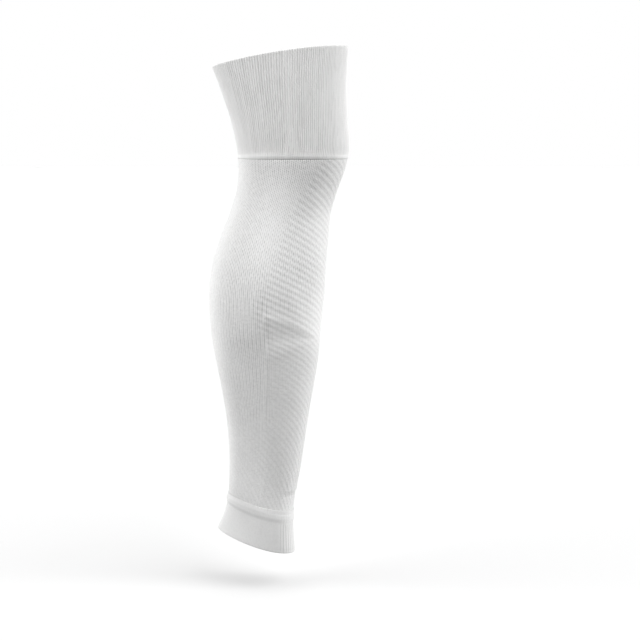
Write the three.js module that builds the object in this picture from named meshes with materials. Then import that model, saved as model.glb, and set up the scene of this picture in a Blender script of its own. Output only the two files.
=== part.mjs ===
// Footless football sock: a knitted sleeve for the lower leg, in the form it has when worn.
// Millimetres, +Z up the leg, +X towards the shin, origin at the fullest section of the calf.
import * as THREE from 'three';
import { LoftGeometry } from 'three/addons/geometries/LoftGeometry.js';

// Driving dimensions
const SIDES = 52;            // points round every section
const ROW_SPACING = 12;      // between sections where the wall runs smooth
const GAP = 0.3;             // clearance between pieces that touch
const EDGE_ROUND = 0.5;      // how far a cut edge is rounded off
const LEG_WALL = 1.6;        // single knit of the leg
const CUFF_SKIN = 1.1;       // one layer of the knee cuff
const CUFF_WALL = 2.4;       // both layers of the knee cuff
const CUFF_LAP = 14;         // how far the knee cuff hangs over the leg
const HEM_HEIGHT = 4.5;      // plain hem along the knee cuff's lower edge
const HEM_PROUD = 0.1;
const BAND_WALL = 2.2;       // ankle band
const WELT_HEIGHT = 9.5;     // roll at the top of the ankle band
const WELT_PROUD = 0.8;
const WELT_GRIP = 5.5;       // length of leg inside the welt

// Heights where pieces begin and end, at the middle of their slanting edges
const TOP_RIM = 236.7;
const KNEE_SEAM = 142.6;
const LEG_TOP = KNEE_SEAM + CUFF_LAP - GAP;
const WELT_TOP = -183.3;
const ANKLE_GROOVE = WELT_TOP - WELT_HEIGHT;
const LEG_END = WELT_TOP - WELT_GRIP;
const ANKLE_RIM = -221.5;

// Matte white knit
const KNIT_WHITE = 0xefefee;
const RIB_WHITE = 0xf3f3f2;
const KNIT_ROUGHNESS = 0.95;

// The leg's own line, a row for each section: where it crosses the shin side (front) and the
// calf side (back), its half width, how much narrower it is towards the shin than the calf (egg),
// how far the front edge stands above the middle (tilt) and how far the sides do (lift)
const SECTIONS = [
  { height: -221.5, front: 28.4, back: -45.6, halfWidth: 31.6, egg: -0.20, tilt: -11.2, lift: -2.0 },
  { height: -208.0, front: 27.4, back: -40.2, halfWidth: 31.8, egg: -0.18, tilt: -10.0, lift: -1.7 },
  { height: -195.5, front: 26.8, back: -36.6, halfWidth: 32.0, egg: -0.12, tilt: -9.5, lift: -1.5 },
  { height: -176.0, front: 27.8, back: -34.5, halfWidth: 32.0, egg: 0.02, tilt: -7.5, lift: -1.0 },
  { height: -150.0, front: 33.5, back: -33.9, halfWidth: 33.0, egg: 0.10, tilt: -4.0, lift: 0 },
  { height: -110.0, front: 40.0, back: -36.1, halfWidth: 37.5, egg: 0.12, tilt: -1.0, lift: 0 },
  { height: -71.0, front: 46.6, back: -42.0, halfWidth: 43.5, egg: 0.14, tilt: 0, lift: 0 },
  { height: -43.0, front: 51.2, back: -47.4, halfWidth: 48.0, egg: 0.15, tilt: 0, lift: 0 },
  { height: -14.0, front: 53.5, back: -51.7, halfWidth: 53.0, egg: 0.15, tilt: 0, lift: 0 },
  { height: 14.0, front: 56.2, back: -52.9, halfWidth: 54.0, egg: 0.14, tilt: 0, lift: 0 },
  { height: 43.0, front: 58.4, back: -49.3, halfWidth: 52.5, egg: 0.12, tilt: 0, lift: 0 },
  { height: 71.0, front: 60.8, back: -40.2, halfWidth: 49.5, egg: 0.10, tilt: 0, lift: 0 },
  { height: 90.0, front: 62.4, back: -32.9, halfWidth: 47.6, egg: 0.08, tilt: 0, lift: 0 },
  { height: 109.0, front: 67.8, back: -26.9, halfWidth: 47.3, egg: 0.06, tilt: 0, lift: 0 },
  { height: 128.0, front: 74.3, back: -24.2, halfWidth: 48.5, egg: 0.05, tilt: 0, lift: 0 },
  { height: 148.0, front: 78.4, back: -24.4, halfWidth: 50.5, egg: 0.04, tilt: 0, lift: 0 },
  { height: 176.0, front: 76.9, back: -29.3, halfWidth: 53.0, egg: 0.03, tilt: 1.5, lift: 0.5 },
  { height: 206.0, front: 75.9, back: -38.0, halfWidth: 55.0, egg: 0.02, tilt: 5.0, lift: 1.5 },
  { height: 236.7, front: 77.2, back: -47.8, halfWidth: 57.0, egg: 0.02, tilt: 9.8, lift: 3.0 },
];
const COLUMNS = ['front', 'back', 'halfWidth', 'egg', 'tilt', 'lift'];

// The crease across the shin: two ridges that start at the side of the leg and close up at the
// shin, with a dent between them. Heights are those of the ridges at the side and at the shin.
const FOLD_SIDE = THREE.MathUtils.degToRad(90);
const FOLD_FULL = THREE.MathUtils.degToRad(80);
const FOLD_CLOSE = THREE.MathUtils.degToRad(30);
const FOLD_FAINT = THREE.MathUtils.degToRad(15);
const FOLD_UPPER = { side: -4.5, shin: -30 };
const FOLD_LOWER_SIDE = -36.5;
const FOLD_SHIN_HEIGHT = 2;
const FOLD_ZONE = { bottom: -58, top: 20 };
// A raised line down the side of the leg, below the crease
const SIDE_RIDGE = { bottom: -112, top: 4, proud: 0.5 };
// A row for each line along the crease: its share of the way up from the lower ridge to the
// upper one, how far it runs above or below that, and how far it stands out of the leg
const FOLD_LINES = [
  { share: 0, offset: -11, relief: 0 },
  { share: 0, offset: -5, relief: 0.2 },
  { share: 0, offset: 0, relief: 0.4 },
  { share: 0.25, offset: 0, relief: 0 },
  { share: 0.5, offset: 0, relief: -0.55 },
  { share: 0.75, offset: 0, relief: -0.15 },
  { share: 1, offset: 0, relief: 0.8 },
  { share: 1, offset: 5, relief: 0.3 },
  { share: 1, offset: 11, relief: 0 },
];

const legLine = new THREE.CubicInterpolant(
  SECTIONS.map((row) => row.height),
  SECTIONS.flatMap((row) => COLUMNS.map((column) => row[column])),
  COLUMNS.length,
);

// A point on the leg at a height and an angle from the shin, standing out of it by some distance
function legPoint(height, angle, out) {
  const [front, back, halfWidth, egg, tilt, lift] = legLine.evaluate(height);
  const along = Math.cos(angle);
  const across = Math.sin(angle);
  return new THREE.Vector3(
    (front + back) / 2 + ((front - back) / 2 + out) * along,
    (halfWidth + out) * across * (1 - egg * along),
    height + tilt * along + lift * across * across,
  );
}

// One ring round the leg, counter-clockwise seen from above; height and distance may vary round it
function ring(heightAt, outAt) {
  const points = [];
  for (let side = 0; side < SIDES; side += 1) {
    const angle = (2 * Math.PI * side) / SIDES;
    const fromShin = Math.min(angle, 2 * Math.PI - angle);
    points.push(legPoint(heightAt(fromShin), angle, outAt(fromShin)));
  }
  return points;
}

function levelRing(height, out) {
  return ring(() => height, () => out);
}

// Evenly spaced heights from one end to the other, both included
function heightsBetween(start, end, spacing) {
  const steps = Math.max(1, Math.round(Math.abs(end - start) / spacing));
  return Array.from({ length: steps + 1 }, (_, step) => start + ((end - start) * step) / steps);
}

// A closed wall: rings up the outside, over the top, down the inside and back to the first
function wall(rings) {
  return new LoftGeometry([...rings, rings[0]]);
}

function piece(name, geometry, color) {
  const material = new THREE.MeshStandardMaterial({ color, roughness: KNIT_ROUGHNESS, metalness: 0 });
  const mesh = new THREE.Mesh(geometry, material);
  mesh.name = name;
  return mesh;
}

function upperRidge(fromShin) {
  const share = THREE.MathUtils.smoothstep(fromShin, 0, FOLD_SIDE);
  return THREE.MathUtils.lerp(FOLD_UPPER.shin, FOLD_UPPER.side, share);
}

function lowerRidge(fromShin) {
  const closing = upperRidge(FOLD_CLOSE) - FOLD_SHIN_HEIGHT;
  const share = Math.min(1, (fromShin - FOLD_CLOSE) / (FOLD_SIDE - FOLD_CLOSE));
  const line = THREE.MathUtils.lerp(closing, FOLD_LOWER_SIDE, share);
  return Math.min(line, upperRidge(fromShin) - FOLD_SHIN_HEIGHT);
}

// The crease is full near the side, ends at once behind it and dies away towards the shin
function foldStrength(fromShin) {
  if (fromShin > FOLD_SIDE) return 0;
  return THREE.MathUtils.smoothstep(fromShin, FOLD_FAINT, FOLD_FULL);
}

function sideRidge(fromShin, height) {
  const halfSide = Math.PI / SIDES;
  const onRidge = Math.abs(fromShin - FOLD_SIDE) < halfSide;
  const inReach = height > SIDE_RIDGE.bottom && height < SIDE_RIDGE.top;
  return onRidge && inReach ? SIDE_RIDGE.proud : 0;
}

function foldRing(line, inset) {
  const heightAt = (fromShin) => (
    THREE.MathUtils.lerp(lowerRidge(fromShin), upperRidge(fromShin), line.share) + line.offset
  );
  const outAt = (fromShin) => (
    line.relief * foldStrength(fromShin) + sideRidge(fromShin, heightAt(fromShin)) - inset
  );
  return ring(heightAt, outAt);
}

function legRing(height, inset) {
  return ring(() => height, (fromShin) => sideRidge(fromShin, height) - inset);
}

// The leg's rings from its lower end to its top, set in from the surface
function legRings(inset) {
  const below = heightsBetween(LEG_END, FOLD_ZONE.bottom, ROW_SPACING);
  const above = heightsBetween(FOLD_ZONE.top, LEG_TOP, ROW_SPACING);
  return [
    ...below.map((height) => legRing(height, inset)),
    ...FOLD_LINES.map((line) => foldRing(line, inset)),
    ...above.map((height) => legRing(height, inset)),
  ];
}

function legTube() {
  return wall([...legRings(0), ...legRings(LEG_WALL).reverse()]);
}

// The knee cuff: a skirt over the leg's top, a hem, two layers above the leg, a rolled rim
function kneeCuff() {
  const lapFace = GAP;
  const face = lapFace + CUFF_SKIN;
  const inside = face - CUFF_WALL;
  const bend = CUFF_WALL / 2;
  const shoulder = bend * (1 - Math.SQRT1_2);
  const lapTop = KNEE_SEAM + CUFF_LAP;
  const hemTop = KNEE_SEAM + HEM_HEIGHT;
  const outerRows = heightsBetween(hemTop + EDGE_ROUND, TOP_RIM - bend, ROW_SPACING);
  const innerRows = heightsBetween(TOP_RIM - bend, lapTop, ROW_SPACING);
  return wall([
    levelRing(KNEE_SEAM, face - EDGE_ROUND),
    levelRing(KNEE_SEAM + EDGE_ROUND, face + HEM_PROUD),
    levelRing(hemTop - EDGE_ROUND, face + HEM_PROUD),
    ...outerRows.map((height) => levelRing(height, face)),
    levelRing(TOP_RIM - shoulder, face - shoulder),
    levelRing(TOP_RIM, face - bend),
    levelRing(TOP_RIM - shoulder, inside + shoulder),
    ...innerRows.map((height) => levelRing(height, inside)),
    levelRing(lapTop, lapFace),
    levelRing(KNEE_SEAM + EDGE_ROUND, lapFace),
    levelRing(KNEE_SEAM, lapFace + EDGE_ROUND),
  ]);
}

// The roll at the ankle cuff's top, a half turn from the groove to the leg
function weltRings() {
  const steps = 7;
  const rings = [];
  for (let step = 1; step < steps; step += 1) {
    const turn = (Math.PI * step) / steps;
    const height = (ANKLE_GROOVE + WELT_TOP) / 2 - (WELT_HEIGHT / 2) * Math.cos(turn);
    rings.push(levelRing(height, EDGE_ROUND + WELT_PROUD * Math.sin(turn)));
  }
  return rings;
}

// The ankle cuff: a rolled welt that holds the leg's end, then a band that flares to its rim
function ankleCuff() {
  const lapFace = GAP;
  const shelf = LEG_END - GAP;
  const outerRows = heightsBetween(ANKLE_RIM + EDGE_ROUND, ANKLE_GROOVE, ROW_SPACING / 2);
  const innerRows = heightsBetween(shelf, ANKLE_RIM + EDGE_ROUND, ROW_SPACING / 2);
  return wall([
    levelRing(ANKLE_RIM, -EDGE_ROUND),
    ...outerRows.map((height) => levelRing(height, 0)),
    ...weltRings(),
    levelRing(WELT_TOP, lapFace),
    levelRing(shelf, lapFace),
    ...innerRows.map((height) => levelRing(height, -BAND_WALL)),
    levelRing(ANKLE_RIM, EDGE_ROUND - BAND_WALL),
  ]);
}

const sock = new THREE.Group();
sock.add(piece('knee_cuff', kneeCuff(), RIB_WHITE));
sock.add(piece('leg_tube', legTube(), KNIT_WHITE));
sock.add(piece('ankle_cuff', ankleCuff(), RIB_WHITE));

export default sock;
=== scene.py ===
"""Footless football sock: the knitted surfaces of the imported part, in its own frame."""

import math
from collections import namedtuple

import bpy
import numpy as np
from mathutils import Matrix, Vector

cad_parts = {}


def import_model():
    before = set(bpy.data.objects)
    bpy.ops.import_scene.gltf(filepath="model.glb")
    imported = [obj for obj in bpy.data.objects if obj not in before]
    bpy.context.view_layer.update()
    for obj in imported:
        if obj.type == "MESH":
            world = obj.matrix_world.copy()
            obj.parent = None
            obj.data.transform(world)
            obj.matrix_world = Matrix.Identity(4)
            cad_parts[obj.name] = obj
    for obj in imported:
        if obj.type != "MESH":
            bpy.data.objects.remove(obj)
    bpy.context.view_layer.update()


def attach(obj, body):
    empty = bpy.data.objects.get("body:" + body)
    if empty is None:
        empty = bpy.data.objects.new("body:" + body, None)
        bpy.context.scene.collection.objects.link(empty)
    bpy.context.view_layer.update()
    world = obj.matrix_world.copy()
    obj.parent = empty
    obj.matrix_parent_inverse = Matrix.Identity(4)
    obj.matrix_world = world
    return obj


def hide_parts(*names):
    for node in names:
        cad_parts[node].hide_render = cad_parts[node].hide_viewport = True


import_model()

MM = 0.001
TURN = 2 * math.pi

# Sizes are in millimetres. "Degrees" are degrees round the leg from the shin. A pair of numbers with
# no other words to it is where a soft step starts and where it ends.

# Driving dimensions; they are the part's own, apart from the edges, the seam, the hem and the welt,
# which are fitted more closely here
GAP = 0.3
EDGE_ROUND = 0.6
LEG_WALL = 1.6
CUFF_SKIN = 1.1
CUFF_WALL = 2.4
CUFF_LAP = 14.0
HEM_HEIGHT = 5.5
HEM_PROUD = 0.1
HEM_ROLL = 3.2                  # how far up the hem's lower edge rolls in
HEM_ROLL_POWER = 1.5            # how late the roll turns in
HEM_LIP = 0.55                  # how thick the edge is at its lowest
HEM_FLAT = (3.8, 4.7)           # the hem's flat face, up from the seam
HEM_STEP = 1.0                  # the slope from the hem to the cuff's face
BAND_WALL = 2.2
WELT_HEIGHT = 12.0
WELT_PROUD = 0.65
WELT_GRIP = 5.5
WELT_BACK = 0.9                 # how much prouder the welt stands at the back, as a share
WELT_BACK_SIDE = (110.0, 160.0)
WELT_PINCH = 0.25               # how far the welt draws the leg in
WELT_PINCH_REACH = 6.0

TOP_RIM = 236.7
KNEE_SEAM = 141.1
LEG_TOP = KNEE_SEAM + CUFF_LAP - GAP
WELT_TOP = -183.3
ANKLE_GROOVE = WELT_TOP - WELT_HEIGHT
LEG_END = WELT_TOP - WELT_GRIP
ANKLE_RIM = -221.5

# The leg's own line: height, where it crosses the shin side (front) and the calf side (back),
# half width, how much narrower it is at the shin (egg), and how far the front edge (tilt) and
# the sides (lift) stand above the middle
SECTIONS = np.array([
    (-221.5, 28.4, -45.6, 31.6, -0.20, -11.2, -2.0),
    (-208.0, 27.4, -40.2, 31.8, -0.18, -10.0, -1.7),
    (-195.5, 26.8, -36.6, 32.0, -0.12, -9.5, -1.5),
    (-176.0, 27.8, -34.5, 32.0, 0.02, -7.5, -1.0),
    (-150.0, 33.5, -33.9, 33.0, 0.10, -4.0, 0.0),
    (-110.0, 40.0, -36.1, 37.5, 0.12, -1.0, 0.0),
    (-71.0, 46.6, -42.0, 43.5, 0.14, 0.0, 0.0),
    (-43.0, 51.2, -47.4, 48.0, 0.15, 0.0, 0.0),
    (-14.0, 53.5, -51.7, 53.0, 0.15, 0.0, 0.0),
    (14.0, 56.2, -52.9, 54.0, 0.14, 0.0, 0.0),
    (43.0, 58.4, -49.3, 52.5, 0.12, 0.0, 0.0),
    (71.0, 60.8, -40.2, 49.5, 0.10, 0.0, 0.0),
    (90.0, 62.4, -32.9, 47.6, 0.08, 0.0, 0.0),
    (109.0, 67.8, -26.9, 47.3, 0.06, 0.0, 0.0),
    (128.0, 74.3, -24.2, 48.5, 0.05, 0.0, 0.0),
    (148.0, 78.4, -24.4, 50.5, 0.04, 0.0, 0.0),
    (176.0, 76.9, -29.3, 53.0, 0.03, 1.5, 0.5),
    (206.0, 75.9, -38.0, 55.0, 0.02, 5.0, 1.5),
    (236.7, 77.2, -47.8, 57.0, 0.02, 9.8, 3.0),
])

# The crease across the shin, also fitted more closely: degrees where it starts to show, is full,
# closes and ends, then heights
FOLD_FAINT = 15.0
FOLD_FULL = 70.0
FOLD_CLOSE = 30.0
FOLD_SIDE = 90.0
FOLD_EDGE = 2.5                 # degrees over which the crease ends behind the side
FOLD_UPPER_SIDE = -4.5
FOLD_UPPER_SHIN = -33.0
FOLD_LOWER_SIDE = -43.0
FOLD_SHIN_HEIGHT = 2.0
# Lines along the crease: share of the way from the lower ridge to the upper one, offset, relief
FOLD_LINES = np.array([
    (0.0, -11.0, 0.0),
    (0.0, -5.0, 0.1),
    (0.0, 0.0, 0.45),
    (0.22, 0.0, 0.0),
    (0.45, 0.0, -0.7),
    (0.72, 0.0, -0.15),
    (1.0, 0.0, 0.9),
    (1.0, 5.0, 0.3),
    (1.0, 11.0, 0.0),
])

# The raised line down the side: height, degrees
RIDGE_PATH = np.array([
    (-120.0, 96.5),
    (-77.0, 92.7),
    (-36.0, 88.8),
    (0.0, 91.0),
])
RIDGE_FOOT = (-114.0, -90.0)
RIDGE_HEAD = (-2.0, 6.0)
RIDGE_PROUD = 0.5
RIDGE_WIDTH = 0.8
RIDGE_GROOVE = 0.1
RIDGE_GROOVE_PLACE = 2.2        # in ridge widths towards the shin

# Soft forms, each with how far it stands out, its middle and its half width: the swell of the muscle
# beside the shin and the hollow above it by height, and the small fold above the ankle cuff by the
# distance from its own line
SWELL = (1.0, 15.0, 28.0)
SWELL_HOLLOW = (-0.5, 108.0, 16.0)
SWELL_FRONT = (12.0, 38.0)
SWELL_BACK = (82.0, 115.0)
WRINKLE_RIDGE = (0.45, 2.2, 1.8)
WRINKLE_GROOVE = (-0.55, -1.6, 1.5)
WRINKLE_HEIGHT = -167.0
WRINKLE_DROP = 0.06             # how far the fold's line drops for each degree
WRINKLE_END = (25.0, 58.0)
SEAM_SWELL = 0.75               # how far the leg swells out just below the hem
SEAM_SWELL_START = (-0.4, 0.4)  # down from the seam
SEAM_SWELL_END = (1.5, 24.0)

# Slow waves in the cloth: how many go round, how long they are up the leg, how deep
WAVE_TURNS = (1, 2, 3, 5)
WAVE_LENGTHS = (70.0, 160.0)    # shortest and longest
LEG_WAVES = 0.25
LEG_WAVES_FADE = 15.0
KNEE_WAVES = 0.3
KNEE_WAVES_FADE = 30.0

# The slanting ribs: height, ribs round the leg, distance between ribs up the leg
TWILL_ROWS = np.array([
    (-190.0, 40.0, 8.2),
    (-150.0, 38.0, 7.5),
    (-85.0, 33.0, 6.5),
    (-20.0, 29.0, 5.8),
    (160.0, 28.0, 5.8),
])
TWILL_DEPTH = 0.11
# Above the crease the ribs end at the side, and nearer the shin towards the knee, in degrees
TWILL_SIDE = 93.0
TWILL_NARROWING = 0.0017        # times the height squared
TWILL_BULGE = (10.0, 0.0, 10.0)  # further back above the crease: degrees, height, half width
TWILL_FADE_FRONT = 9.0
TWILL_FADE_BACK = 6.0
# Below the crease, how strong the ribs are: degrees, strength
TWILL_LOWER = np.array([
    (0.0, 0.75),
    (40.0, 0.7),
    (62.0, 0.42),
    (80.0, 0.25),
    (92.0, 0.1),
    (150.0, 0.08),
])
TWILL_BLEND = (-52.0, -30.0)    # heights from the lower strength to the upper one
TWILL_CALF = 0.2                # more strength low on the calf
TWILL_CALF_TOP = (-115.0, -90.0)
TWILL_CALF_SIDE = (70.0, 95.0)
TWILL_SHIN = 0.6                # share of the strength at the shin itself
TWILL_SHIN_SIDE = (6.0, 28.0)
TWILL_BACK = (140.0, 172.0)
TWILL_DENT = 0.35               # share lost in the crease's dent
TWILL_DENT_WIDTH = 9.0

# The leg's dashes of painted shade alternate like bricks above and run into stripes below: height, bricks
# a millimetre
BRICK_ROWS = np.array([
    (-190.0, 0.02),
    (5.0, 0.03),
    (45.0, 0.4),
    (75.0, 0.47),
    (105.0, 0.95),
    (160.0, 0.95),
])

# How strongly the painted shade between the leg's stitches shows: height, strength
GROOVE_SHADE_ROWS = np.array([
    (-190.0, 0.2),
    (-115.0, 0.3),
    (-90.0, 0.75),
    (-60.0, 0.85),
    (0.0, 1.0),
    (70.0, 1.1),
    (120.0, 1.5),
])
GROOVE_SHADE_SHIN = (-40.0, 45.0)
# Shares of it that are lost: from above the crease down and from the crease down, both by the
# distance below its upper ridge, under the knee, and at the back
NEAR_LOSS = 0.5
NEAR_REACH = (-60.0, -20.0)
CREASE_LOSS = 0.25
CREASE_REACH = (-6.0, 4.0)
KNEE_LOSS = 0.4
KNEE_LOSS_HEIGHT = (40.0, 80.0)
KNEE_LOSS_SIDE = (45.0, 80.0)
BACK_LOSS = 0.55
BACK_LOSS_SIDE = (125.0, 160.0)
FRONT_EDGE = (82.0, 92.0)       # where the front ends at the side

# How much lighter than the yarn's white the leg is: everywhere, then painted light and shade: a painted
# highlight along the line at the side, painted light over the ribbed front above the crease and painted
# shade below it, painted shade low on the calf, and painted light under the knee
LEG_TONE = -0.11
RIDGE_PAINTED_HIGHLIGHT = 0.03
UPPER_PAINTED_LIGHT = 0.1
UPPER_SIDE = (40.0, 75.0)
UPPER_START = (-4.0, 5.0)       # up from the upper ridge, at the shin and at the side
UPPER_FULL = (8.0, 50.0)        # the same
UPPER_SHIN = 0.55               # share of the tone at the shin itself
UPPER_SHIN_SIDE = (15.0, 50.0)
UPPER_FADE = 40.0
UPPER_BACK = (90.0, 125.0)
LOWER_PAINTED_SHADE = -0.055
LOWER_FOOT = (-185.0, -165.0)
LOWER_TOP = (-50.0, -25.0)
CALF_PAINTED_SHADE = -0.075
CALF_SIDE = (110.0, 150.0)
CALF_TOP = (-80.0, -30.0)
UNDER_KNEE_PAINTED_LIGHT = 0.08
UNDER_KNEE_LIGHT_WIDTH = 28.0
UNDER_KNEE_LIGHT_START = (30.0, 60.0)
# Where the painted light over the front starts to fade upwards: degrees, height
UPPER_FADE_PATH = np.array([
    (30.0, 80.0),
    (50.0, 100.0),
    (75.0, 125.0),
])
# The middle of the painted light under the knee: height, degrees
UNDER_KNEE_LIGHT_PATH = np.array([
    (50.0, 68.0),
    (120.0, 108.0),
])

# The knit
WALES = 168
LEG_COURSE = 1.45
KNEE_COURSE = 1.5
ANKLE_COURSE = 1.3
RIB_SHARPNESS = 1.4
RIB_UNEVENNESS = (0.65, 1.2)    # least and most share of a rib's depth

# The knee cuff's ribs; their depth changes, as a share, up its outside, over its rim and inside
KNEE_RIB_DEPTH = 0.75
KNEE_RIB_SHIFT = 0.2            # how far the ribs shift towards the shin at the rim, in radians
KNEE_HEM_RIBS = 0.55
KNEE_STEP_RIBS = (0.7, 0.9)     # where the slope from the hem starts and ends
KNEE_SHOULDER_RIBS = 0.3
KNEE_RIM_RIBS = 0.12
KNEE_INNER_RIBS = 0.7
# Painted light: the cuff is lighter round the back
KNEE_TONE = -0.015
KNEE_BACK_PAINTED_LIGHT = 0.05
KNEE_BACK_SIDE = (100.0, 140.0)

# The ankle cuff's fine ribs, also with shares, and the broad ribs at its front
ANKLE_RIB_DEPTH = 0.05
ANKLE_EDGE_RIBS = 0.3
ANKLE_WELT_RIBS = 0.3
ANKLE_INNER_RIBS = 0.6
ANKLE_UNDER_RIBS = 0.2
ANKLE_FRONT_RIBS = 56
ANKLE_FRONT_DEPTH = 0.25
ANKLE_FRONT_SHARPNESS = 3
ANKLE_FRONT_END = (44.0, 58.0)
# The welt's curve, as shares of its height from the groove, and how far it drops at the top
WELT_CURVE_OUT = (0.0, 0.4)
WELT_CURVE_IN = (0.6, 1.0)
WELT_CURVE_DROP = 0.85
WELT_LAST_SHARE = 0.98
# The groove of the welt's front: how deep, how far below its top, its half width and its end
BEAD_DEPTH = 0.3
BEAD_DROP = 3.6
BEAD_WIDTH = 0.8
BEAD_END = (45.0, 85.0)
# Tones of the ankle cuff: loose stitches along the welt, painted shade at the cuff's lower edge, a line
# above that at the front, and painted shade in the valleys of the broad ribs
LOOSE_TONES = (-0.1, 0.0, 0.07)
LOOSE_FRONT = (60.0, 68.0)
LOOSE_BACK = (98.0, 108.0)
LOOSE_DROP = 0.6
LOOSE_WIDTH = 0.7
EDGE_PAINTED_SHADE = -0.08
EDGE_PAINTED_SHADE_HEIGHT = 1.6
EDGE_LINE_TONE = -0.05
EDGE_LINE_RISE = 3.4
EDGE_LINE_WIDTH = 0.7
EDGE_LINE_END = (50.0, 75.0)
VALLEY_PAINTED_SHADE = -0.14

# Mesh fineness: the leg's columns crowd along the ridge at each side and over the shin
LEG_COLUMNS = 300
LEG_ROWS = 270
LEG_INNER_ROWS = 40
ANGLE_STEP = 0.1
SIDE_CROWDING = 1.2
SIDE_CROWDING_WIDTH = 7.0
FRONT_CROWDING = 0.5
FRONT_CROWDING_END = (60.0, 120.0)
KNEE_COLUMNS_PER_RIB = 8
KNEE_EDGE_ROWS = 6
KNEE_FACE_ROWS = 34
KNEE_FACE_INSET = 3.0
KNEE_RIM_ROWS = 9
KNEE_RIM_TURNS = (18.0, 162.0)  # degrees over the rim, from the outside to the inside
KNEE_INNER_ROWS = 16
KNEE_LAP_ROWS = 4
ANKLE_COLUMNS_PER_RIB = 4
ANKLE_EDGE_ROWS = 5
ANKLE_EDGE_TURNS = (80.0, 0.0)  # degrees round the lower edge, from below to the outside
ANKLE_BAND_ROWS = 22
ANKLE_BAND_INSETS = (2.0, 1.0)  # up from the rim, down from the groove
ANKLE_WELT_ROWS = 24
ANKLE_INNER_ROWS = 14

# How much of a piece's flat map its outside takes
LEG_OUTER_SHARE = 0.8
KNEE_OUTER_SHARE = 0.65
ANKLE_OUTER_SHARE = 0.7

# Each knit's look: how white it is, how high its stitches stand in millimetres, how dark the painted
# shade in dashes between its wales is, how many courses long they are, how uneven its stitches and its
# wales are, how far the dashes alternate from wale to wale, and its slanting ribs' height and painted
# valley shade
KNIT_FIELDS = "name white stitch dashes length speckle streaks lattice twill darkness"
Knit = namedtuple("Knit", KNIT_FIELDS, defaults=(0.0, 0.0, 0.0))
KNEE_KNIT = Knit(
    "knee_rib_knit", white=0.865, stitch=0.1, dashes=0.08, length=6.0, speckle=0.02, streaks=0.06,
)
LEG_KNIT = Knit(
    "leg_knit", white=0.965, stitch=0.25, dashes=0.21, length=1.2, speckle=0.07, streaks=0.05,
    lattice=0.3, twill=0.1, darkness=0.08,
)
ANKLE_KNIT = Knit(
    "ankle_rib_knit", white=0.74, stitch=0.12, dashes=0.04, length=1.0, speckle=0.03, streaks=0.02,
)

# The yarn of all three
WARMTH = 0.995                  # how much less blue than red and green the white is
YARN_ROUGHNESS = 0.7
YARN_GLOSS = 0.5
FUZZ_SCALE = 1500.0             # grains of fuzz to a metre
FUZZ_DETAIL = 3.0
FUZZ_HEIGHT = 0.5               # as a share of a stitch
STITCH_SLANT = 0.7              # how many courses a stitch's legs rise to the sides of its wale
DASH_STAGGER = 0.618            # how many dashes each wale starts after the one before it
DASH_SPREAD = 1.4               # from the faintest dash to the darkest
DASH_LEAST = 0.3
WOVEN_SPREAD = 0.7              # the same where dashes alternate
WOVEN_LEAST = 0.65
STREAK_STEP = 7.3               # how far apart in the noise two wales lie, and two courses
STREAK_COURSE = 0.08
NOISE_ROUGHNESS = 0.6

SEED = 7

# Stage
FLOOR_HEIGHT = -264.0
FLOOR_SIZE = 40.0               # in metres
FLOOR_WHITE = 0.655
FLOOR_GLOW = 0.22

# Wide soft lights: name, degrees round from the camera's side, elevation, strength, spread
LIGHTS = (
    ("shin_key", 55.0, 38.0, 2.18, 60.0),
    ("shin_rim", 129.0, -12.0, 2.22, 40.0),
    ("calf_rim", 222.0, -10.0, 1.54, 40.0),
    ("calf_key", 289.0, 24.0, 2.31, 60.0),
    ("top", 180.0, 76.0, 0.99, 80.0),
    ("front", 0.0, 5.0, 0.31, 60.0),
)
AMBIENT = 0.176
WHITE = (1.0, 1.0, 1.0, 1.0)
BLACK = (0.0, 0.0, 0.0, 1.0)

# The camera's distance and the width that it sees there are in metres
AIM = Vector((52.3, 0.0, -11.2)) * MM
CAMERA_DISTANCE = 1.85
CAMERA_ELEVATION = math.radians(5.6)
FRAME_WIDTH = 0.606


def rise(value, low, high):
    """A soft step from 0 at low to 1 at high."""
    share = np.clip((value - low) / (high - low), 0.0, 1.0)
    return share * share * (3.0 - 2.0 * share)


def fall(value, low, high):
    """A soft step from 1 at low to 0 at high."""
    return 1 - rise(value, low, high)


def bell(value, middle, width):
    return np.exp(-0.5 * ((value - middle) / width) ** 2)


def mound(value, proud, middle, width):
    return proud * bell(value, middle, width)


def between(first, second, share):
    return first + (second - first) * share


def look_up(rows, at):
    """The second column of a table, read where the first one is at."""
    return np.interp(at, rows[:, 0], rows[:, 1])


def risen(rows, rates, heights):
    """The sum up the leg of a rate that is given for each row of a table."""
    steps = np.arange(rows[0, 0], rows[-1, 0] + 1.0)
    rate = np.interp(steps, rows[:, 0], rates)
    return np.interp(heights, steps, np.concatenate([[0.0], np.cumsum(rate[:-1])]))


def through(rows, values, at):
    """A smooth curve through the rows' values, whose slope at a row is the mean of the two beside it."""
    secants = np.diff(values, axis=0) / np.diff(rows)[:, None]
    slopes = np.vstack([secants[:1], (secants[:-1] + secants[1:]) / 2, secants[-1:]])
    below = np.clip(np.searchsorted(rows, at) - 1, 0, len(rows) - 2)
    width = rows[below + 1] - rows[below]
    share = (np.clip(at, rows[0], rows[-1]) - rows[below]) / width
    share, width = share[..., None], width[..., None]
    square, cube = share ** 2, share ** 3
    return (
        (2 * cube - 3 * square + 1) * values[below]
        + (cube - 2 * square + share) * width * slopes[below]
        + (3 * square - 2 * cube) * values[below + 1]
        + (cube - square) * width * slopes[below + 1]
    )


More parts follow.
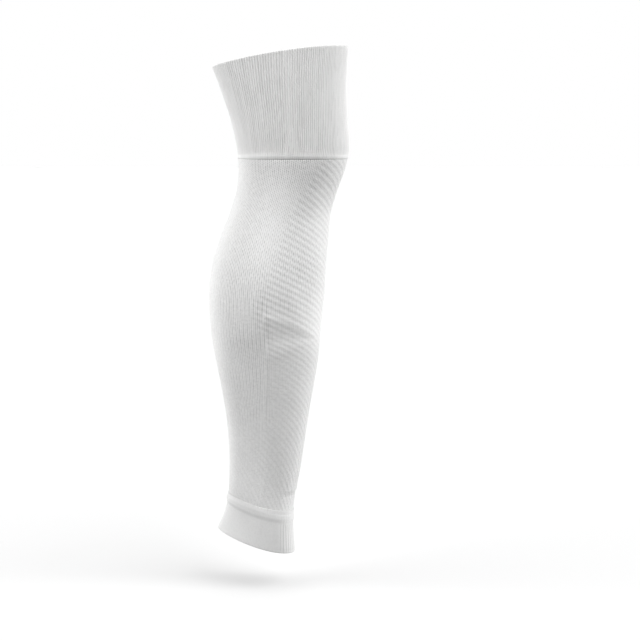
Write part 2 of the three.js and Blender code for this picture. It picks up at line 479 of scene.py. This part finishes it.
def leg_points(heights, angles, out):
    """Points on the leg at a height and an angle from the shin, standing out of it by some distance."""
    line = through(SECTIONS[:, 0], SECTIONS[:, 1:], heights)
    front, back, half_width, egg, tilt, lift = np.moveaxis(line, -1, 0)
    along, across = np.cos(angles), np.sin(angles)
    return np.stack([
        (front + back) / 2 + ((front - back) / 2 + out) * along,
        (half_width + out) * across * (1 - egg * along),
        heights + tilt * along + lift * across ** 2,
    ], axis=-1)


def signed(angles):
    """The same angles, from half a turn one way to half a turn the other way."""
    return (angles + math.pi) % TURN - math.pi


def degrees_from_shin(angles):
    return np.degrees(np.abs(signed(angles)))


# Relief of the leg


def upper_ridge(around):
    return between(FOLD_UPPER_SHIN, FOLD_UPPER_SIDE, rise(around, 0.0, FOLD_SIDE))


def lower_ridge(around):
    closing = upper_ridge(FOLD_CLOSE) - FOLD_SHIN_HEIGHT
    share = np.minimum(1.0, (around - FOLD_CLOSE) / (FOLD_SIDE - FOLD_CLOSE))
    line = between(closing, FOLD_LOWER_SIDE, share)
    return np.minimum(line, upper_ridge(around) - FOLD_SHIN_HEIGHT)


def crease(heights, around):
    """The dent between two ridges over the shin, for rows of heights by columns of degrees."""
    strength = rise(around, FOLD_FAINT, FOLD_FULL) * fall(around, FOLD_SIDE, FOLD_SIDE + FOLD_EDGE)
    upper, lower = upper_ridge(around), lower_ridge(around)
    relief = np.zeros_like(heights)
    for column in range(heights.shape[1]):
        lines = between(lower[column], upper[column], FOLD_LINES[:, 0]) + FOLD_LINES[:, 1]
        relief[:, column] = through(lines, FOLD_LINES[:, 2:], heights[:, column])[:, 0]
    return relief * strength


def across_ridge(heights, around):
    """How far behind the line down the side each point lies, and how much of the line is there."""
    half_width = through(SECTIONS[:, 0], SECTIONS[:, 1:], heights)[..., 2]
    reach = rise(heights, *RIDGE_FOOT) * fall(heights, *RIDGE_HEAD)
    return np.radians(around - look_up(RIDGE_PATH, heights)) * half_width, reach


def side_ridge(heights, around):
    """The raised line down the side, with a shallow groove on its shin side."""
    across, reach = across_ridge(heights, around)
    line = mound(across, RIDGE_PROUD, 0.0, RIDGE_WIDTH)
    groove = mound(across, RIDGE_GROOVE, -RIDGE_GROOVE_PLACE * RIDGE_WIDTH, RIDGE_WIDTH)
    return (line - groove) * reach


def shin_muscle(heights, around):
    """The soft swell beside the shin, with a slight hollow above it, under the knee."""
    reach = rise(around, *SWELL_FRONT) * fall(around, *SWELL_BACK)
    return (mound(heights, *SWELL) + mound(heights, *SWELL_HOLLOW)) * reach


def ankle_wrinkle(heights, around):
    """A small fold across the front just above the ankle cuff."""
    line = heights - WRINKLE_HEIGHT + WRINKLE_DROP * around
    return (mound(line, *WRINKLE_RIDGE) + mound(line, *WRINKLE_GROOVE)) * fall(around, *WRINKLE_END)


def seam_swell(heights):
    """The leg's swell right below the knee cuff's hem."""
    below_hem = KNEE_SEAM - heights
    return SEAM_SWELL * rise(below_hem, *SEAM_SWELL_START) * fall(below_hem, *SEAM_SWELL_END)


def unevenness(heights, angles, depth, rng):
    """Slow, slight waves in the cloth."""
    relief = np.zeros_like(heights)
    for turns in WAVE_TURNS:
        length = rng.uniform(*WAVE_LENGTHS)
        start = rng.uniform(0.0, TURN)
        relief = relief + np.cos(turns * angles + TURN * heights / length + start)
    return depth * relief / len(WAVE_TURNS)


def leg_waves(heights, angles, rng):
    """The leg's slow waves, which end at the two cuffs."""
    fade = rise(heights, WELT_TOP, WELT_TOP + LEG_WAVES_FADE)
    fade = fade * fall(heights, KNEE_SEAM - LEG_WAVES_FADE, KNEE_SEAM)
    return unevenness(heights, angles, LEG_WAVES, rng) * fade


# Looks of the leg


def twill_phase(heights, angles):
    """How many slanting ribs lie below each point; they fall towards the shin on one side."""
    ribs = look_up(TWILL_ROWS, heights)
    return risen(TWILL_ROWS, 1.0 / TWILL_ROWS[:, 2], heights) + ribs * signed(angles) / TURN


def twill_strength(heights, around):
    """How strong the slanting ribs are: most beside the shin, less below the crease, none at the back."""
    edge = TWILL_SIDE - TWILL_NARROWING * np.maximum(heights, 0.0) ** 2 + mound(heights, *TWILL_BULGE)
    upper = fall(around, edge - TWILL_FADE_FRONT, edge + TWILL_FADE_BACK)
    calf = TWILL_CALF * fall(heights, *TWILL_CALF_TOP) * rise(around, *TWILL_CALF_SIDE)
    lower = look_up(TWILL_LOWER, around) + calf
    strength = between(lower, upper, rise(heights, *TWILL_BLEND))
    strength = strength * between(TWILL_SHIN, 1.0, rise(around, *TWILL_SHIN_SIDE))
    dent = bell(heights, (upper_ridge(around) + lower_ridge(around)) / 2, TWILL_DENT_WIDTH)
    return strength * fall(around, *TWILL_BACK) * (1 - TWILL_DENT * dent)


def groove_shade_strength(heights, around):
    """Painted shade between stitches: less over the shin and at the back, least from the crease down."""
    strength = look_up(GROOVE_SHADE_ROWS, heights) * rise(around, *GROOVE_SHADE_SHIN)
    below = upper_ridge(around) - heights
    crease_loss = NEAR_LOSS * rise(below, *NEAR_REACH) + CREASE_LOSS * rise(below, *CREASE_REACH)
    knee_loss = KNEE_LOSS * rise(heights, *KNEE_LOSS_HEIGHT) * fall(around, *KNEE_LOSS_SIDE)
    back_loss = BACK_LOSS * rise(around, *BACK_LOSS_SIDE)
    return strength * (1 - crease_loss * fall(around, *FRONT_EDGE)) * (1 - knee_loss) * (1 - back_loss)


def upper_painted_light_share(heights, around):
    """How much of the painted light over the ribbed front above the crease each point gets."""
    side = rise(around, *UPPER_SIDE)
    above_ridge = heights - upper_ridge(around)
    share = rise(above_ridge, between(*UPPER_START, side), between(*UPPER_FULL, side))
    share = share * between(UPPER_SHIN, 1.0, rise(around, *UPPER_SHIN_SIDE))
    fade = look_up(UPPER_FADE_PATH, around)
    return share * fall(heights, fade, fade + UPPER_FADE) * fall(around, *UPPER_BACK)


def leg_tone_and_painted_light(heights, around):
    """How much lighter than the yarn's white the knit shows, painted light and shade included."""
    across, reach = across_ridge(heights, around)
    # Painted highlight along the raised line down the side
    ridge_highlight = mound(across, RIDGE_PAINTED_HIGHLIGHT, 0.0, RIDGE_WIDTH) * reach
    # Painted light over the ribbed front above the crease
    upper = UPPER_PAINTED_LIGHT * upper_painted_light_share(heights, around)
    # Painted shade over the ribbed front below the crease
    lower = LOWER_PAINTED_SHADE * rise(heights, *LOWER_FOOT) * fall(heights, *LOWER_TOP)
    lower = lower * fall(around, *FRONT_EDGE)
    # Painted shade low on the back of the calf
    calf = CALF_PAINTED_SHADE * rise(around, *CALF_SIDE) * fall(heights, *CALF_TOP)
    # Painted light under the knee
    under_knee_light = mound(around, UNDER_KNEE_PAINTED_LIGHT, look_up(UNDER_KNEE_LIGHT_PATH, heights), UNDER_KNEE_LIGHT_WIDTH)
    return LEG_TONE + ridge_highlight + upper + lower + calf + under_knee_light * rise(heights, *UNDER_KNEE_LIGHT_START)


# Meshes


def tube_mesh(name, points, attributes, shares):
    """A closed wall from rows of points round the leg: up the outside, over, and down the inside."""
    rows, columns = points.shape[:2]
    row, column = np.meshgrid(np.arange(rows), np.arange(columns), indexing="ij")
    next_row, next_column = (row + 1) % rows, (column + 1) % columns
    corners = [(row, column), (row, next_column), (next_row, next_column), (next_row, column)]
    quads = np.stack([r * columns + c for r, c in corners], axis=-1).reshape(-1, 4)
    mesh = bpy.data.meshes.new(name)
    mesh.from_pydata((points.reshape(-1, 3) * MM).tolist(), [], quads.tolist())
    open_corners = [(row, column), (row, column + 1), (row + 1, column + 1), (row + 1, column)]

    def at_corners(grid):
        return np.stack([grid[r, c] for r, c in open_corners], axis=2).reshape(-1)

    for attribute_name, grids in attributes.items():
        attribute = mesh.attributes.new(attribute_name, "FLOAT_VECTOR", "CORNER")
        values = np.stack([at_corners(grid) for grid in grids], axis=-1)
        attribute.data.foreach_set("vector", values.astype(np.float32).reshape(-1))
    across = np.broadcast_to(np.linspace(0.0, 1.0, columns + 1), (rows + 1, columns + 1))
    along = np.broadcast_to(shares[:, None], (rows + 1, columns + 1))
    uv = np.stack([at_corners(across), at_corners(along)], axis=-1)
    layer = mesh.uv_layers.new(name="OFBake")
    layer.data.foreach_set("uv", uv.astype(np.float32).reshape(-1))
    mesh.shade_smooth()
    mesh.validate()
    return mesh


def closed(grid):
    """The grid with its first row repeated after the last, and its first column too."""
    grid = np.concatenate([grid, grid[:1]], axis=0)
    return np.concatenate([grid, grid[:, :1]], axis=1)


def profile_length(profile):
    """The distance along a closed profile of (height, out) rows, at each row and back at the first."""
    steps = np.diff(np.vstack([profile, profile[:1]]), axis=0)
    return np.concatenate([[0.0], np.cumsum(np.hypot(steps[:, 0], steps[:, 1]))])


def knit_grids(angles, length, course, tone_and_painted_light):
    """The wale and course of each corner, and how much lighter it is, with painted light and shade."""
    wales = np.concatenate([angles, angles[:1] + TURN]) * WALES / TURN
    shape = (len(length), len(wales))
    return np.broadcast_to(wales, shape), np.broadcast_to(length[:, None] / course, shape), closed(tone_and_painted_light)


def bake_shares(inside, outer_share):
    """Where each row of a wall lies up its flat map; the outside takes most of it."""
    weight = np.where(inside, (1 - outer_share) / inside.sum(), outer_share / (~inside).sum())
    return np.concatenate([[0.0], np.cumsum(weight)])


def add_piece(mesh, material, node):
    piece = bpy.data.objects.new(mesh.name, mesh)
    bpy.context.scene.collection.objects.link(piece)
    mesh.materials.append(material)
    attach(piece, "root")
    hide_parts(node)


def leg_angles():
    """Angles round the leg, closer together along the ridge at each side and over the shin."""
    turn = np.radians(np.arange(0.0, 360.0 + ANGLE_STEP, ANGLE_STEP))
    around = degrees_from_shin(turn)
    density = 1 + SIDE_CROWDING * bell(around, FOLD_SIDE, SIDE_CROWDING_WIDTH)
    density = density + FRONT_CROWDING * fall(around, *FRONT_CROWDING_END)
    share = np.concatenate([[0.0], np.cumsum(density[:-1])])
    return np.interp(np.arange(LEG_COLUMNS) / LEG_COLUMNS, share / share[-1], turn)


def leg_tube(material):
    rng = np.random.default_rng(SEED)
    angles = leg_angles()
    around = degrees_from_shin(angles)
    rows = np.concatenate([
        np.linspace(LEG_END, LEG_TOP, LEG_ROWS),
        np.linspace(LEG_TOP, LEG_END, LEG_INNER_ROWS),
    ])
    inside = np.arange(len(rows)) >= LEG_ROWS
    heights = np.repeat(rows[:, None], LEG_COLUMNS, axis=1)
    strength = twill_strength(heights, around)
    phase = twill_phase(heights, angles)
    dents = crease(heights, around) + ankle_wrinkle(heights, around) + shin_muscle(heights, around)
    outer = dents + side_ridge(heights, around) + TWILL_DEPTH * np.cos(TURN * phase) * strength
    outer = outer + leg_waves(heights, angles, rng) + seam_swell(heights)
    outer = outer - WELT_PINCH * fall(heights, WELT_TOP, WELT_TOP + WELT_PINCH_REACH)
    inner = np.minimum(dents, 0.0) - LEG_WALL
    points = leg_points(heights, angles[None, :], np.where(inside[:, None], inner, outer))
    length = profile_length(np.stack([rows, np.where(inside, -LEG_WALL, 0.0)], axis=-1))
    tone_and_painted_light = np.where(inside[:, None], 0.0, leg_tone_and_painted_light(heights, around))
    ribs = closed(np.where(inside[:, None], 0.0, strength))
    bricks = closed(risen(BRICK_ROWS, BRICK_ROWS[:, 1], heights))
    zeros = np.zeros_like(bricks)
    attributes = {
        "knit": knit_grids(angles, length, LEG_COURSE, tone_and_painted_light),
        "twill": (closed(phase), ribs, zeros),
        "weave": (bricks, closed(groove_shade_strength(heights, around)), zeros),
    }
    mesh = tube_mesh("leg_sleeve", points, attributes, bake_shares(inside, LEG_OUTER_SHARE))
    add_piece(mesh, material, "leg_tube")


def rib_grooves(columns_per_rib, depth, rng):
    """How deep the groove is at each column of a rib knit, uneven from rib to rib."""
    place = np.arange(WALES * columns_per_rib) / columns_per_rib
    groove = (0.5 + 0.5 * np.cos(TURN * place)) ** RIB_SHARPNESS
    uneven = np.repeat(rng.uniform(*RIB_UNEVENNESS, WALES), columns_per_rib)
    return depth * groove * uneven


def arc(start, end, steps):
    """Turns from start to end in degrees, as radians."""
    return np.radians(np.linspace(start, end, steps))


def knee_profile():
    """Rows of height, distance out and share of the ribs' depth, and the first row of the inside."""
    lap_face = GAP
    face = lap_face + CUFF_SKIN
    inside = face - CUFF_WALL
    bend = CUFF_WALL / 2
    hem_face = face + HEM_PROUD
    hem_top = KNEE_SEAM + HEM_HEIGHT
    roll_depth = hem_face - lap_face - HEM_LIP
    edge = [
        (KNEE_SEAM + HEM_ROLL * (1 - share), hem_face - roll_depth * share ** HEM_ROLL_POWER, 0.0)
        for share in np.linspace(1.0, 0.0, KNEE_EDGE_ROWS)
    ]
    hem = [(KNEE_SEAM + height, hem_face, KNEE_HEM_RIBS) for height in HEM_FLAT]
    low_ribs, high_ribs = KNEE_STEP_RIBS
    step = [(hem_top, (hem_face + face) / 2, low_ribs), (hem_top + HEM_STEP, face, high_ribs)]
    face_heights = np.linspace(hem_top + KNEE_FACE_INSET, TOP_RIM - KNEE_FACE_INSET, KNEE_FACE_ROWS)
    outer = [(height, face, 1.0) for height in face_heights]
    shoulder = [(TOP_RIM - bend, face, KNEE_SHOULDER_RIBS)]
    middle = (face + inside) / 2
    rim = [
        (TOP_RIM - bend + bend * math.sin(turn), middle + bend * math.cos(turn), KNEE_RIM_RIBS)
        for turn in arc(*KNEE_RIM_TURNS, KNEE_RIM_ROWS)
    ]
    lap_top = KNEE_SEAM + CUFF_LAP
    inner_heights = np.linspace(TOP_RIM - bend, lap_top, KNEE_INNER_ROWS)
    inner = [(height, inside, KNEE_INNER_RIBS) for height in inner_heights]
    lap_heights = np.linspace(lap_top, KNEE_SEAM + EDGE_ROUND, KNEE_LAP_ROWS)
    lap = [(height, lap_face, 0.0) for height in lap_heights]
    outside = edge + hem + step + outer + shoulder
    return np.array(outside + rim + inner + lap), len(outside) + len(rim) // 2


def knee_tone_and_painted_light(around):
    """How much lighter than the yarn's white the cuff shows, with painted light round the back."""
    return KNEE_TONE + KNEE_BACK_PAINTED_LIGHT * rise(around, *KNEE_BACK_SIDE)


def knee_cuff(material):
    rng = np.random.default_rng(SEED + 1)
    profile, inside_from = knee_profile()
    columns = WALES * KNEE_COLUMNS_PER_RIB
    angles = np.arange(columns) * TURN / columns
    heights = np.repeat(profile[:, :1], columns, axis=1)
    shift = KNEE_RIB_SHIFT * (heights - KNEE_SEAM) / (TOP_RIM - KNEE_SEAM)
    turned = angles - shift * np.sin(angles)
    grooves = rib_grooves(KNEE_COLUMNS_PER_RIB, KNEE_RIB_DEPTH, rng)
    inside = np.arange(len(profile)) >= inside_from
    cut = profile[:, 2:] * grooves * np.where(inside, -1.0, 1.0)[:, None]
    waves = unevenness(heights, turned, KNEE_WAVES, rng)
    waves = waves * rise(heights, KNEE_SEAM, KNEE_SEAM + KNEE_WAVES_FADE)
    points = leg_points(heights, turned, profile[:, 1:2] - cut + waves)
    tone_and_painted_light = np.where(inside[:, None], 0.0, knee_tone_and_painted_light(degrees_from_shin(turned)))
    length = profile_length(profile[:, :2])
    attributes = {"knit": knit_grids(angles, length, KNEE_COURSE, tone_and_painted_light)}
    mesh = tube_mesh("knee_rib_cuff", points, attributes, bake_shares(inside, KNEE_OUTER_SHARE))
    add_piece(mesh, material, "knee_cuff")


def welt_curve(share):
    """The welt's outward curve from the groove (0) to its top edge (1), fullest in the middle."""
    return rise(share, *WELT_CURVE_OUT) * (1 - WELT_CURVE_DROP * rise(share, *WELT_CURVE_IN))


def ankle_profile():
    """Rows of height, distance out and share of the ribs' depth, and the first row of the inside."""
    lap_face = GAP - WELT_PINCH
    shelf = LEG_END - GAP
    edge = [
        (
            ANKLE_RIM + EDGE_ROUND * (1 - math.sin(turn)),
            -EDGE_ROUND * (1 - math.cos(turn)),
            ANKLE_EDGE_RIBS,
        )
        for turn in arc(*ANKLE_EDGE_TURNS, ANKLE_EDGE_ROWS)
    ]
    rim_inset, groove_inset = ANKLE_BAND_INSETS
    band_heights = np.linspace(ANKLE_RIM + rim_inset, ANKLE_GROOVE - groove_inset, ANKLE_BAND_ROWS)
    band = [(height, 0.0, 1.0) for height in band_heights]
    welt = [
        (ANKLE_GROOVE + WELT_HEIGHT * share, WELT_PROUD * welt_curve(share), ANKLE_WELT_RIBS)
        for share in np.linspace(0.0, WELT_LAST_SHARE, ANKLE_WELT_ROWS)
    ]
    lap = [(WELT_TOP - GAP, lap_face, 0.0), (shelf, lap_face, 0.0)]
    inner_heights = np.linspace(shelf, ANKLE_RIM + EDGE_ROUND, ANKLE_INNER_ROWS)
    inner = [(height, -BAND_WALL, ANKLE_INNER_RIBS) for height in inner_heights]
    under = [(ANKLE_RIM, EDGE_ROUND - BAND_WALL, ANKLE_UNDER_RIBS)]
    outside = edge + band + welt
    return np.array(outside + lap + inner + under), len(outside)


def front_ribs(angles):
    """Broad ribs over the front of the ankle band, parted by narrow grooves."""
    place = angles * ANKLE_FRONT_RIBS / TURN
    groove = (0.5 + 0.5 * np.cos(TURN * place)) ** ANKLE_FRONT_SHARPNESS
    return groove * fall(degrees_from_shin(angles), *ANKLE_FRONT_END)


def ankle_tone_and_painted_shade(profile, around, grooves, rng):
    """How much lighter than the yarn's white the ankle cuff shows, painted shade included."""
    heights = profile[:, :1]
    loose = np.repeat(rng.choice(LOOSE_TONES, WALES), ANKLE_COLUMNS_PER_RIB)
    loose = loose * rise(around, *LOOSE_FRONT) * fall(around, *LOOSE_BACK)
    # Painted shade along the cuff's lower edge
    edge = EDGE_PAINTED_SHADE * fall(heights, ANKLE_RIM, ANKLE_RIM + EDGE_PAINTED_SHADE_HEIGHT)
    line = mound(heights, EDGE_LINE_TONE, ANKLE_RIM + EDGE_LINE_RISE, EDGE_LINE_WIDTH)
    # Painted shade in the valleys of the broad ribs at the front
    painted_valley_shade = VALLEY_PAINTED_SHADE * grooves * profile[:, 2:]
    loose = loose * bell(heights, WELT_TOP - LOOSE_DROP, LOOSE_WIDTH)
    return loose + edge + line * fall(around, *EDGE_LINE_END) + painted_valley_shade


def ankle_cuff(material):
    rng = np.random.default_rng(SEED + 2)
    profile, inside_from = ankle_profile()
    columns = WALES * ANKLE_COLUMNS_PER_RIB
    angles = np.arange(columns) * TURN / columns
    around = degrees_from_shin(angles)
    heights = np.repeat(profile[:, :1], columns, axis=1)
    inside = np.arange(len(profile)) >= inside_from
    fine = rib_grooves(ANKLE_COLUMNS_PER_RIB, ANKLE_RIB_DEPTH, rng)
    broad = front_ribs(angles)
    cut = profile[:, 2:] * (fine + ANKLE_FRONT_DEPTH * broad) * np.where(inside, -1.0, 1.0)[:, None]
    bead = mound(heights, BEAD_DEPTH, WELT_TOP - BEAD_DROP, BEAD_WIDTH) * fall(around, *BEAD_END)
    fuller = np.maximum(profile[:, 1:2], 0.0) * WELT_BACK * rise(around, *WELT_BACK_SIDE)
    roll = np.where(inside[:, None], 0.0, fuller - bead)
    tone_and_painted_light = np.where(inside[:, None], 0.0, ankle_tone_and_painted_shade(profile, around, broad, rng))
    points = leg_points(heights, angles[None, :], profile[:, 1:2] + roll - cut)
    length = profile_length(profile[:, :2])
    attributes = {"knit": knit_grids(angles, length, ANKLE_COURSE, tone_and_painted_light)}
    mesh = tube_mesh("ankle_rib_cuff", points, attributes, bake_shares(inside, ANKLE_OUTER_SHARE))
    add_piece(mesh, material, "ankle_cuff")


# Materials


class Graph:
    """Adds nodes to a shader in few words; an input may be a number or another node's output."""

    def __init__(self, tree):
        self.tree = tree
        self.tree.nodes.clear()

    def node(self, kind, inputs=None, **settings):
        node = self.tree.nodes.new(kind)
        for name, value in settings.items():
            setattr(node, name, value)
        for name, value in (inputs or {}).items():
            self.put(node.inputs[name], value)
        return node

    def put(self, socket, value):
        if isinstance(value, bpy.types.NodeSocket):
            self.tree.links.new(value, socket)
        else:
            socket.default_value = value

    def math(self, operation, *values):
        return self.node("ShaderNodeMath", dict(enumerate(values)), operation=operation).outputs[0]

    def attribute(self, name):
        """The three values that the mesh holds under a name."""
        source = self.node("ShaderNodeAttribute", attribute_name=name)
        return self.node("ShaderNodeSeparateXYZ", {0: source.outputs["Vector"]}).outputs

    def point(self, across, along):
        return self.node("ShaderNodeCombineXYZ", {0: across, 1: along}).outputs[0]

    def wave(self, turns):
        """A cosine from 0 to 1 over one turn."""
        cosine = self.math("COSINE", self.math("MULTIPLY", turns, TURN))
        return self.math("MULTIPLY_ADD", cosine, 0.5, 0.5)

    def cell_noise(self, column, row):
        """A value from 0 to 1 for each cell of a grid, unlike its neighbours."""
        inputs = {"Vector": self.point(column, row)}
        return self.node("ShaderNodeTexWhiteNoise", inputs, noise_dimensions="2D").outputs[0]

    def noise(self, vector, scale, detail):
        inputs = {"Vector": vector, "Scale": scale, "Detail": detail, "Roughness": NOISE_ROUGHNESS}
        return self.node("ShaderNodeTexNoise", inputs).outputs[0]

    def shaded(self, colour, shade):
        """A colour darkened to a share of itself."""
        mix = self.node("ShaderNodeMix", data_type="RGBA")
        factor, first, second = mix.inputs[0], mix.inputs[6], mix.inputs[7]
        self.put(factor, shade)
        self.put(first, BLACK)
        self.put(second, colour)
        return mix.outputs[2]


def stitch_height(graph, wale, course):
    """V-shaped stitches: two legs to each wale, slanting up to its sides."""
    place = graph.math("FRACT", wale)
    from_middle = graph.math("ABSOLUTE", graph.math("MULTIPLY_ADD", place, 2.0, -1.0))
    slanted = graph.math("MULTIPLY_ADD", from_middle, -STITCH_SLANT, course)
    legs = graph.math("SUBTRACT", 1.0, graph.wave(graph.math("MULTIPLY", place, 2.0)))
    loops = graph.math("MULTIPLY_ADD", graph.wave(slanted), 0.5, 0.5)
    return graph.math("MULTIPLY", legs, loops)


def painted_groove_shade(graph, knit, wale, course):
    """Painted shade: dark dashes between the wales, where their grooves lie, uneven from one to the next.
    """
    groove = graph.math("ROUND", wale)
    along = graph.math("DIVIDE", course, knit.length)
    stagger = graph.math("MULTIPLY_ADD", groove, DASH_STAGGER, along)
    uneven = graph.cell_noise(groove, graph.math("FLOOR", stagger))
    if knit.lattice:
        return woven_groove_shade(graph, knit, wale, groove, uneven)
    strength = graph.math("MULTIPLY_ADD", uneven, DASH_SPREAD, DASH_LEAST)
    return graph.math("MULTIPLY", graph.wave(wale), strength)


def woven_groove_shade(graph, knit, wale, groove, uneven):
    """Painted shade in dashes that alternate from wale to wale, as far and as strongly as the mesh says.
    """
    bricks, strength, _ = graph.attribute("weave")
    alternate = graph.wave(graph.math("MULTIPLY", graph.math("ADD", groove, bricks), 0.5))
    share = 1 - knit.lattice
    loose = graph.math("MULTIPLY_ADD", uneven, WOVEN_SPREAD * share, WOVEN_LEAST * share)
    dashes = graph.math("MULTIPLY_ADD", alternate, 2.0 * knit.lattice, loose)
    return graph.math("MULTIPLY", graph.math("MULTIPLY", graph.wave(wale), dashes), strength)


def slanting_ribs(graph, knit, height, shade):
    """The height with the slanting ribs in it, and the shade with painted shade in their valleys."""
    phase, strength, _ = graph.attribute("twill")
    ribs = graph.math("MULTIPLY", graph.wave(phase), strength)
    # Painted shade in the valleys between the slanting ribs
    painted_valley_shade = graph.math("SUBTRACT", ribs, strength)
    return (
        graph.math("MULTIPLY_ADD", ribs, knit.twill / knit.stitch, height),
        graph.math("MULTIPLY_ADD", painted_valley_shade, knit.darkness, shade),
    )


def wale_streaks(graph, wale, course):
    """Slow noise up each wale, unlike its neighbours'."""
    across = graph.math("MULTIPLY", graph.math("FLOOR", wale), STREAK_STEP)
    along = graph.math("MULTIPLY", course, STREAK_COURSE)
    return graph.noise(graph.point(across, along), 1.0, 1.0)


def knit_material(knit):
    """White yarn: stitches, uneven stitches, streaks and fuzz, with painted light and shade."""
    material = bpy.data.materials.new(knit.name)
    material.use_nodes = True
    graph = Graph(material.node_tree)
    wale, course, tone_and_painted_light = graph.attribute("knit")
    place = graph.node("ShaderNodeTexCoord").outputs["Object"]
    fuzz = graph.noise(place, FUZZ_SCALE, FUZZ_DETAIL)
    height = graph.math("MULTIPLY_ADD", fuzz, FUZZ_HEIGHT, stitch_height(graph, wale, course))
    stitches = graph.cell_noise(graph.math("FLOOR", wale), graph.math("ROUND", course))
    # Painted shade in the dashes between the wales, plus uneven stitches
    groove_shade_and_speckle = graph.math("MULTIPLY", painted_groove_shade(graph, knit, wale, course), -knit.dashes)
    groove_shade_and_speckle = graph.math("MULTIPLY_ADD", graph.math("SUBTRACT", stitches, 0.5), knit.speckle, groove_shade_and_speckle)
    shade = graph.math("ADD", tone_and_painted_light, 1.0 - knit.streaks / 2)
    shade = graph.math("MULTIPLY_ADD", wale_streaks(graph, wale, course), knit.streaks, shade)
    if knit.twill:
        height, shade = slanting_ribs(graph, knit, height, shade)
    yarn = (knit.white, knit.white, knit.white * WARMTH, 1.0)
    bump = graph.node("ShaderNodeBump", {"Height": height, "Distance": knit.stitch * MM, "Strength": 1.0})
    shader = graph.node("ShaderNodeBsdfPrincipled", {
        "Base Color": graph.shaded(yarn, graph.math("ADD", shade, groove_shade_and_speckle)),
        "Roughness": YARN_ROUGHNESS,
        "Specular IOR Level": YARN_GLOSS,
        "Normal": bump.outputs[0],
    })
    graph.node("ShaderNodeOutputMaterial", {"Surface": shader.outputs[0]})
    return material


def floor_material():
    """White, with a little light of its own, so that only the shadow shows."""
    material = bpy.data.materials.new("floor_white")
    material.use_nodes = True
    graph = Graph(material.node_tree)
    shader = graph.node("ShaderNodeBsdfPrincipled", {
        "Base Color": (FLOOR_WHITE, FLOOR_WHITE, FLOOR_WHITE, 1.0),
        "Roughness": 1.0,
        "Specular IOR Level": 0.0,
        "Emission Color": WHITE,
        "Emission Strength": FLOOR_GLOW,
    })
    graph.node("ShaderNodeOutputMaterial", {"Surface": shader.outputs[0]})
    return material


# Stage


def floor():
    mesh = bpy.data.meshes.new("floor")
    half = FLOOR_SIZE / 2
    corners = [(-half, -half), (half, -half), (half, half), (-half, half)]
    mesh.from_pydata([(x, y, FLOOR_HEIGHT * MM) for x, y in corners], [], [(0, 1, 2, 3)])
    mesh.materials.append(floor_material())
    piece = bpy.data.objects.new("floor", mesh)
    bpy.context.scene.collection.objects.link(piece)
    piece.visible_diffuse = False
    piece.visible_glossy = False
    piece.visible_shadow = False


def lights():
    for name, around, elevation, strength, spread in LIGHTS:
        data = bpy.data.lights.new(name, "SUN")
        data.energy = strength
        data.angle = math.radians(spread)
        turn, lift = math.radians(around), math.radians(elevation)
        source = Vector((
            math.sin(turn) * math.cos(lift),
            -math.cos(turn) * math.cos(lift),
            math.sin(lift),
        ))
        lamp = bpy.data.objects.new(name, data)
        lamp.rotation_euler = source.to_track_quat("Z", "Y").to_euler()
        bpy.context.scene.collection.objects.link(lamp)


def world():
    """Even soft light from all round, and a white background."""
    surroundings = bpy.data.worlds.new("studio")
    surroundings.use_nodes = True
    graph = Graph(surroundings.node_tree)
    light = graph.node("ShaderNodeBackground", {"Color": WHITE, "Strength": AMBIENT})
    seen = graph.node("ShaderNodeBackground", {"Color": WHITE, "Strength": 1.0})
    path = graph.node("ShaderNodeLightPath")
    mix = graph.node("ShaderNodeMixShader", {
        0: path.outputs["Is Camera Ray"],
        1: light.outputs[0],
        2: seen.outputs[0],
    })
    graph.node("ShaderNodeOutputWorld", {"Surface": mix.outputs[0]})
    bpy.context.scene.world = surroundings


def camera():
    data = bpy.data.cameras.new("camera")
    data.angle = 2 * math.atan(FRAME_WIDTH / 2 / CAMERA_DISTANCE)
    piece = bpy.data.objects.new("camera", data)
    away = Vector((0.0, -math.cos(CAMERA_ELEVATION), math.sin(CAMERA_ELEVATION)))
    piece.location = AIM + away * CAMERA_DISTANCE
    piece.rotation_euler = away.to_track_quat("Z", "Y").to_euler()
    bpy.context.scene.collection.objects.link(piece)
    bpy.context.scene.camera = piece
    bpy.context.scene.view_settings.view_transform = "Standard"


def main():
    camera()
    world()
    lights()
    floor()
    knee_cuff(knit_material(KNEE_KNIT))
    leg_tube(knit_material(LEG_KNIT))
    ankle_cuff(knit_material(ANKLE_KNIT))


main()
